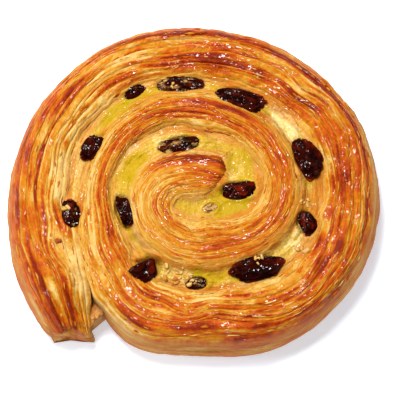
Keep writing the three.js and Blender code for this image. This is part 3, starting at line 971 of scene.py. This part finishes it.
def off_face(face, angle, away, side):
    """Plan points moved square off a face. side is 1 away from the axis, -1 towards it."""
    before, after = polar(angle - 1, face(angle - 1)), polar(angle + 1, face(angle + 1))
    along = after - before
    along = along / np.linalg.norm(along, axis=-1, keepdims=True)
    square = np.stack([along[..., 1], -along[..., 0]], -1)
    return polar(angle, face(angle)) + square * side * away


def custard_inner_side(angle, away):
    """The custard's side towards the axis: along the hollow face of the inner end, across its
    cut, and on along the outer face of the turn inside."""
    pool = mix(360 + POOL_START, INNER_END[0], (angle - POOL_START) / (POOL_TO_END_FACE - POOL_START))
    in_pool = off_face(hollow_face, np.clip(pool, INNER_END[0], 400), away, -1)
    corner = polar(INNER_END[0], hollow_face(np.array(INNER_END[0])))
    across = polar(INNER_END[1], outer_face(np.array(INNER_END[1]))) - corner
    share = np.clip((angle - POOL_TO_END_FACE) / (RIBBON_START - POOL_TO_END_FACE), 0, 1)[..., None]
    off = np.array([across[1], -across[0]]) / np.linalg.norm(across) * away
    at_end = corner + across * share + off
    ribbon = off_face(outer_face, np.maximum(angle, RIBBON_START), away, 1)
    side = np.where((angle < POOL_TO_END_FACE)[..., None], in_pool, at_end)
    return np.where((angle < RIBBON_START)[..., None], side, ribbon)


# How many rings the custard has, how many columns each stretch of a ring has (base, outer side,
# top and inner side), and how much closer together the rings are in the pool.
CUSTARD_STATIONS = 560
CUSTARD_COLUMNS = (6, 7, 44, 7)
STATION_SPREAD = 1.12

# Millimetres that it reaches into the dough, that it stands over the table, and over which it
# climbs a turn, and how many rings its corners are eased over on either side.
CUSTARD_INTO_DOUGH = 2.6
CUSTARD_FOOT = 0.25
CUSTARD_CLIMB = 1.7
EASED_RINGS = 5

# Yellower, creamier and browner places: angle, share, degrees along, share across, cream, toast.
CREAM_PATCHES = [
    (153, 0.5, 16, 0.6, -0.35, -0.5), (120, 0.5, 16, 0.6, 0.1, 0.1), (-19, 0.5, 22, 0.5, -0.3, -0.4),
    (3, 0.4, 14, 0.5, -0.3, -0.1), (-70, 0.5, 24, 0.6, 0.05, -0.3), (-130, 0.5, 40, 0.8, 0.0, -0.35),
    (45, 0.6, 16, 0.6, -0.05, -0.6), (404, 0.5, 9, 0.6, 0.8, -0.5), (430, 0.5, 14, 0.5, 0.1, 0.2),
    (366, 0.5, 9, 0.6, -0.1, 0.6), (487, 0.5, 15, 0.6, -0.35, -0.5), (508, 0.5, 8, 0.6, 0.3, 0.0),
    (528, 0.5, 14, 0.8, 0.2, -0.2), (337, 0.5, 13, 0.6, 0.35, 0.0), (300, 0.5, 12, 0.6, -0.1, -0.3),
    (270, 0.5, 10, 0.6, -0.2, -0.3), (256, 0.4, 8, 0.6, 0.45, 0.1), (215, 0.5, 20, 0.6, -0.1, 0.2),
    (190, 0.5, 14, 0.6, -0.25, -0.3),
]

# How brown its toasted parts are: angle, share, degrees along, share across, amount.
CRUST_PATCHES = [
    (515, 0.7, 20, 0.5, -0.2), (530, 0.5, 18, 0.8, 0.05), (366, 0.5, 25, 0.8, 0.15),
    (430, 0.2, 30, 0.4, 0.2), (545, 0.4, 9, 0.5, 0.45), (150, 0.5, 40, 0.8, -0.2),
    (200, 0.2, 30, 0.4, -0.1), (-90, 0.5, 40, 0.8, -0.2), (320, 0.6, 25, 0.6, -0.1),
]

# How deep in millimetres the custard opens round a raisin, and how far out as a share of the
# raisin's half size: usually, and at some raisins by their numbers.
USUAL_PIT = (1.4, 1.0)
OPEN_PITS = {10: (2.4, 1.3), 5: (1.8, 1.12), 8: (1.8, 1.15), 12: (2.0, 1.15), 14: (0.5, 0.9)}


def custard_surface():
    """The custard as rings of points: a base, two sides that reach into the dough, and a top
    that clings a little higher to the dough, sags between, and is lumpy."""
    angle = mix(POOL_START, CUSTARD_END, np.linspace(0, 1, CUSTARD_STATIONS) ** STATION_SPREAD)
    inner = custard_inner_side(angle, -CUSTARD_INTO_DOUGH)
    # The corners round the cut end are eased, since they lie inside the dough.
    spread = np.hanning(2 * EASED_RINGS + 1)
    spread = spread / spread.sum()
    padded = np.pad(inner, ((EASED_RINGS, EASED_RINGS), (0, 0)), mode="edge")
    inner = np.stack([np.convolve(padded[:, i], spread, mode="valid") for i in range(2)], -1)[:, None]
    outer = off_face(hollow_face, angle + 360, -CUSTARD_INTO_DOUGH, -1)[:, None]
    width = np.linalg.norm(outer - inner, axis=-1)
    top_share = np.linspace(1, 0, CUSTARD_COLUMNS[2])[None, :]
    side_level = np.linspace(0.02, 0.97, CUSTARD_COLUMNS[1])[None, :]
    ring_share = ringed(1, CUSTARD_COLUMNS, np.linspace(0.08, 0.92, CUSTARD_COLUMNS[0]), 1, top_share, 0)
    plan = mix(inner, outer, ring_share[..., None]) + SHIFT
    # It lies CUSTARD_BELOW_CROWN deep between the turns and climbs to each turn's edge.
    turn_inside = np.maximum(angle, INNER_END[1])
    level = crown(turn_inside + 180)[:, None] - CUSTARD_BELOW_CROWN
    level = level + EDGE_DROP * (1 - SHALLOW) * blend(angle, 240, 60)[:, None]
    top_from = sum(CUSTARD_COLUMNS[:2])
    x, y = np.moveaxis(plan[:, top_from : top_from + CUSTARD_COLUMNS[2]], -1, 0)
    top = level - 0.5 * blend(np.abs(2 * top_share - 1), 1, 0)
    for number, (turn, distance) in enumerate((
        (turn_inside, top_share * width - CUSTARD_INTO_DOUGH),
        (angle + 360, (1 - top_share) * width - CUSTARD_INTO_DOUGH),
    )):
        rim = (crown(turn) - edge_drop(turn))[:, None] + 0.2 + 0.5 * rough(69 + number, 2, x / 5, y / 5)
        top = top + (rim - level) * bump(np.maximum(distance, 0), 0, CUSTARD_CLIMB)
    crook = blend(angle, -120, -180)[:, None]
    streaky = mix(1, 0.3, blend(angle, 75, 30))[:, None]
    top = top + 0.7 * rough(71, 3, x / 6, y / 6) + 0.3 * rough(75, 2, x / 1.5, y / 1.5) + 0.3 * crook
    top = top + 0.6 * streaky * rough(77, 3, angle[:, None] / 7, top_share * width / 1.4)
    for number, (length, wide, heading) in enumerate(RAISINS, start=1):
        middle, _ = middle_of(f"raisin_{number:02d}")
        u, v = turned(x - middle[0], y - middle[1], -math.radians(heading))
        away = np.hypot(u / length * 2, v / wide * 2)
        depth, reach = OPEN_PITS.get(number, USUAL_PIT)
        top = top + 0.7 * bump(away, 1.1 * reach, 0.28) - depth * blend(away, reach, 0.7 * reach)
    up = mix(CUSTARD_FOOT, top[:, :1], side_level)
    down = mix(CUSTARD_FOOT, top[:, -1:], side_level[:, ::-1])
    ring_z = ringed(CUSTARD_STATIONS, CUSTARD_COLUMNS, CUSTARD_FOOT, up, top, down)
    x, y = plan[..., 0], plan[..., 1]
    cream = 0.48 + 0.3 * rough(76, 2, x / 9, y / 9)
    edge = np.minimum(ring_share, 1 - ring_share) * width - CUSTARD_INTO_DOUGH
    toast = 1.1 * blend(edge, 3.2, 0.2) + 0.5 * rough(78, 3, x / 6, y / 6)
    for middle, across, long, wide, more_cream, more_toast in CREAM_PATCHES:
        patch = bump(angle, middle, long)[:, None] * bump(ring_share, across, wide)
        cream = cream + more_cream * patch
        toast = toast + more_toast * patch
    bake = 0.45 + 0.25 * rough(79, 2, x / 8, y / 8) + patched(CRUST_PATCHES, angle[:, None], ring_share)
    grain = together(travelled(plan.mean(axis=1))[:, None], ring_share * width, ring_z / 3)
    streaky = np.broadcast_to(streaky, ring_z.shape)
    cream = np.clip(cream, 0, 1)
    features = {"cream": cream, "toast": toast, "bake": bake, "streaky": streaky, "grain": grain}
    return raised(plan, ring_z), features


# ---------------------------------------------------------------- raisins

# How far the custard's skin covers a raisin, by its number, and any other raisin, and how many
# rings and sides a raisin has.
SUNK_RAISINS = {14: 0.85, 1: -0.4, 2: 0.1, 6: 0.05, 9: -0.15, 13: 0.05}
BARE_RAISIN = -2
RAISIN_RINGS = 58
RAISIN_SIDES = 72


def raisin_surface(number, length, width, heading, middle, height):
    """One raisin: a ball of directions stretched to its three half sizes, lumpy, with creases
    along the lines where a noise over the directions passes through nought, and pointed ends."""
    dx, dy, dz = ball(RAISIN_RINGS, RAISIN_SIDES)
    own = number * 7.7 + 20

    def over(seed, along, across):
        return noise(seed, dx * along + own, dy * across + own, dz * across + own)

    lump = 0.24 * over(81, 1.4, 1.5)
    crease = over(82, 1.5, 2.6) + 0.3 * over(83, 4, 5)
    fine = over(84, 3.2, 5.5) + 0.3 * over(85, 9, 10)
    groove = bump(crease, 0, 0.16)
    small = bump(fine, 0, 0.22)
    # The ends are blunter than a ball's, by as much as the fourth powers of the direction fall short.
    blunt = (dx**4 + (dy**2 + dz**2) ** 2) ** -0.25
    girth = (1 + lump - 0.15 * groove - 0.06 * small) * mix(1, blunt, 0.35)
    point = 1 + 0.1 * np.abs(dx) ** 4 * math.sin(number * 2.3)
    u = dx * point * girth * length / 2
    v = dy * girth * width / 2 + 0.1 * width * math.sin(number * 1.7) * (1 - dx**2)
    x, y = turned(u, v, math.radians(heading))
    points = (together(x, y, dz * girth * height / 2) + middle) * MM
    rim = blend(dz, 0.45, -0.1)
    # The creases are darkened as painted shade; the lumps and the low sides are a lighter red-brown.
    fold = np.clip(0.32 + 0.9 * lump - 0.35 * groove - 0.2 * small + 0.2 * crease + 0.5 * rim, 0, 1)
    patches = rough(86, 2, dx * 2.5 + own, dy * 2.5 + own, dz * 2.5 + own)
    film = 0.85 * blend(patches + SUNK_RAISINS.get(number, BARE_RAISIN), -0.2, 0.9)
    return points, {"fold": fold, "film": film}


# ---------------------------------------------------------------- pieces as operators


def add_piece(name, surface, material, slot, *nodes):
    """Adds a piece from its rings of points and their features, says which body it rides on,
    and hides the nodes it stands for. slot is not used."""
    piece = make_mesh(name, *close_rings(*surface), material)
    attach(piece, "root")
    if nodes:
        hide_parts(*nodes)


class DoughSettings(bpy.types.PropertyGroup):
    stain: bpy.props.StringProperty(
        name="Custard stain", description="Hex colour of dough soaked with custard", default="#b98c34"
    )


class CustardSettings(bpy.types.PropertyGroup):
    shine: bpy.props.FloatProperty(
        name="Shine", description="Wetness of the custard's skin", default=0.7, min=0, max=1, subtype="FACTOR"
    )


class RaisinSettings(bpy.types.PropertyGroup):
    shine: bpy.props.FloatProperty(
        name="Shine", description="Glaze on the raisins", default=1.0, min=0, max=1, subtype="FACTOR"
    )


class StageSettings(bpy.types.PropertyGroup):
    key_power: bpy.props.FloatProperty(
        name="Key light", description="Power of the soft light", default=20.2, min=0, subtype="POWER"
    )
    walls: bpy.props.FloatProperty(
        name="Walls", description="Strength of the light from the white walls", default=0.62, min=0
    )
    ceiling: bpy.props.FloatProperty(
        name="Ceiling", description="Strength of the light from the ceiling", default=0.1, min=0
    )


class PASTRY_OT_dough(bpy.types.Operator):
    """Adds the wound strip of laminated dough"""

    bl_idname = "pastry.add_dough"
    bl_label = "Dough roll"

    def execute(self, context):
        material = baked_laminated_dough(context.scene.pastry_dough)
        add_piece("dough_roll", dough_surface(), material, "dough", "dough")
        return {"FINISHED"}


class PASTRY_OT_flakes(bpy.types.Operator):
    """Adds the torn edges of the dough's single sheets, and the web in the notch"""

    bl_idname = "pastry.add_flakes"
    bl_label = "Flakes and web"

    def execute(self, context):
        material = bpy.data.materials["baked_laminated_dough"]
        middle = 0.5 * STRIP_LENGTH
        for name, seed, first, last in (
            ("inner_turn_flakes", 5, 0, middle), ("outer_turn_flakes", 6, middle, STRIP_LENGTH),
        ):
            add_piece(name, flake_surfaces(seed, first, last), material, "dough")
        add_piece("notch_web", web_surface(), material, "dough")
        return {"FINISHED"}


class PASTRY_OT_custard(bpy.types.Operator):
    """Adds the custard between the turns"""

    bl_idname = "pastry.add_custard"
    bl_label = "Custard"

    def execute(self, context):
        material = baked_custard(context.scene.pastry_custard)
        add_piece("custard_ribbon", custard_surface(), material, "custard", "custard")
        return {"FINISHED"}


class PASTRY_OT_raisins(bpy.types.Operator):
    """Adds the raisins in the custard"""

    bl_idname = "pastry.add_raisins"
    bl_label = "Raisins"

    def execute(self, context):
        material = glazed_raisin_skin(context.scene.pastry_raisins)
        for number, (length, width, heading) in enumerate(RAISINS, start=1):
            node = f"raisin_{number:02d}"
            middle, size = middle_of(node)
            skin = raisin_surface(number, length, width, heading, middle, size[2])
            add_piece(f"wrinkled_{node}", skin, material, "raisin", node)
        return {"FINISHED"}


class PASTRY_OT_crumbs(bpy.types.Operator):
    """Adds the loose crumbs that lie on the custard and the raisins"""

    bl_idname = "pastry.add_crumbs"
    bl_label = "Crumbs"

    def execute(self, context):
        context.view_layer.update()
        below = context.evaluated_depsgraph_get()

        def height_at(x, y):
            start = Vector((x + SHIFT[0], y + SHIFT[1], 2 * CENTRE_HEIGHT)) * MM
            return context.scene.ray_cast(below, start, Vector((0, 0, -1)))[1].z / MM

        material = bpy.data.materials["baked_laminated_dough"]
        add_piece("loose_crumbs", crumb_surfaces(height_at), material, "dough")
        return {"FINISHED"}


class PASTRY_OT_stage(bpy.types.Operator):
    """Adds the floor, the light and the camera"""

    bl_idname = "pastry.add_stage"
    bl_label = "Stage"

    def execute(self, context):
        settings = context.scene.pastry_stage
        material, add = new_material("matt_white_paper")
        paper = shaded(material, add, {
            "Base Color": colour("#eaf1f8"),
            "Roughness": 0.9,
            "Emission Color": colour("#e8f1fb"),
            "Emission Strength": 0.5,
        })
        corners = np.array([(-1, -1, 0), (1, -1, 0), (1, 1, 0), (-1, 1, 0)]) * FLOOR_HALF
        floor = make_mesh("paper_floor", corners, [np.arange(4)[None, :]], {}, paper)

        world = bpy.data.worlds.new("white_room")
        context.scene.world = world
        world.use_nodes = True
        tree = world.node_tree
        back = tree.nodes["Background"]
        back.inputs["Color"].default_value = (1, 1, 1, 1)
        # Bright walls and a dark ceiling, so that level wet surfaces keep their colour.
        direction = add_node(tree, "TexCoord").outputs["Generated"]
        up = add_node(tree, "SeparateXYZ", {0: direction}).outputs["Z"]
        ends = {"From Min": 0.35, "From Max": 0.85, "To Min": settings.walls, "To Max": settings.ceiling}
        strength = add_node(tree, "MapRange", {"Value": up, **ends})
        tree.links.new(strength.outputs[0], back.inputs["Strength"])

        # A large softbox behind on the left, and two smaller ones whose reflections add glints.
        for name, place, size, share in (
            ("softbox", (-0.15, 0.2, 1.0), 0.27, 0.75), ("window", (-0.3, 0.6, 0.75), 0.2, 0.15),
            ("strip_light", (-0.6, -0.1, 0.75), 0.18, 0.1),
        ):
            lamp = bpy.data.lights.new(name, "AREA")
            lamp.energy = settings.key_power * share
            lamp.size = size
            light = bpy.data.objects.new(name, lamp)
            light.location = place
            light.rotation_euler = (-light.location).to_track_quat("-Z", "Y").to_euler()
            context.collection.objects.link(light)

        target = Vector((FRAME_MIDDLE[0] + SHIFT[0], FRAME_MIDDLE[1] + SHIFT[1], FRAME_MIDDLE[2])) * MM
        tilt = math.radians(CAMERA_ELEVATION)
        lens = bpy.data.cameras.new("camera")
        lens.sensor_width = SENSOR
        lens.lens = SENSOR * CAMERA_DISTANCE / (PHOTO_SIDE_PX / PX_PER_MM * MM)
        camera = bpy.data.objects.new("camera", lens)
        camera.location = target + Vector((0, -math.cos(tilt), math.sin(tilt))) * CAMERA_DISTANCE
        camera.rotation_euler = (target - camera.location).to_track_quat("-Z", "Y").to_euler()
        context.collection.objects.link(camera)
        context.scene.camera = camera
        context.scene.view_settings.view_transform = "Standard"
        return {"FINISHED"}


STEPS = (
    PASTRY_OT_dough, PASTRY_OT_flakes, PASTRY_OT_custard,
    PASTRY_OT_raisins, PASTRY_OT_crumbs, PASTRY_OT_stage,
)


class PASTRY_PT_panel(bpy.types.Panel):
    """Lists the pastry's pieces"""

    bl_idname = "PASTRY_PT_panel"
    bl_label = "Pain aux raisins"
    bl_space_type = "VIEW_3D"
    bl_region_type = "UI"
    bl_category = "Pastry"

    def draw(self, context):
        for step in STEPS:
            self.layout.operator(step.bl_idname)


SETTINGS = {
    "pastry_dough": DoughSettings,
    "pastry_custard": CustardSettings,
    "pastry_raisins": RaisinSettings,
    "pastry_stage": StageSettings,
}


def register():
    for kind in (*SETTINGS.values(), *STEPS, PASTRY_PT_panel):
        bpy.utils.register_class(kind)
    for name, kind in SETTINGS.items():
        setattr(bpy.types.Scene, name, bpy.props.PointerProperty(type=kind))


def unregister():
    for name in SETTINGS:
        delattr(bpy.types.Scene, name)
    for kind in (PASTRY_PT_panel, *STEPS, *SETTINGS.values()):
        bpy.utils.unregister_class(kind)


def main():
    register()
    bpy.ops.pastry.add_dough()
    bpy.ops.pastry.add_flakes()
    bpy.ops.pastry.add_custard()
    bpy.ops.pastry.add_raisins()
    bpy.ops.pastry.add_crumbs()
    bpy.ops.pastry.add_stage()


if __name__ == "__main__":
    main()
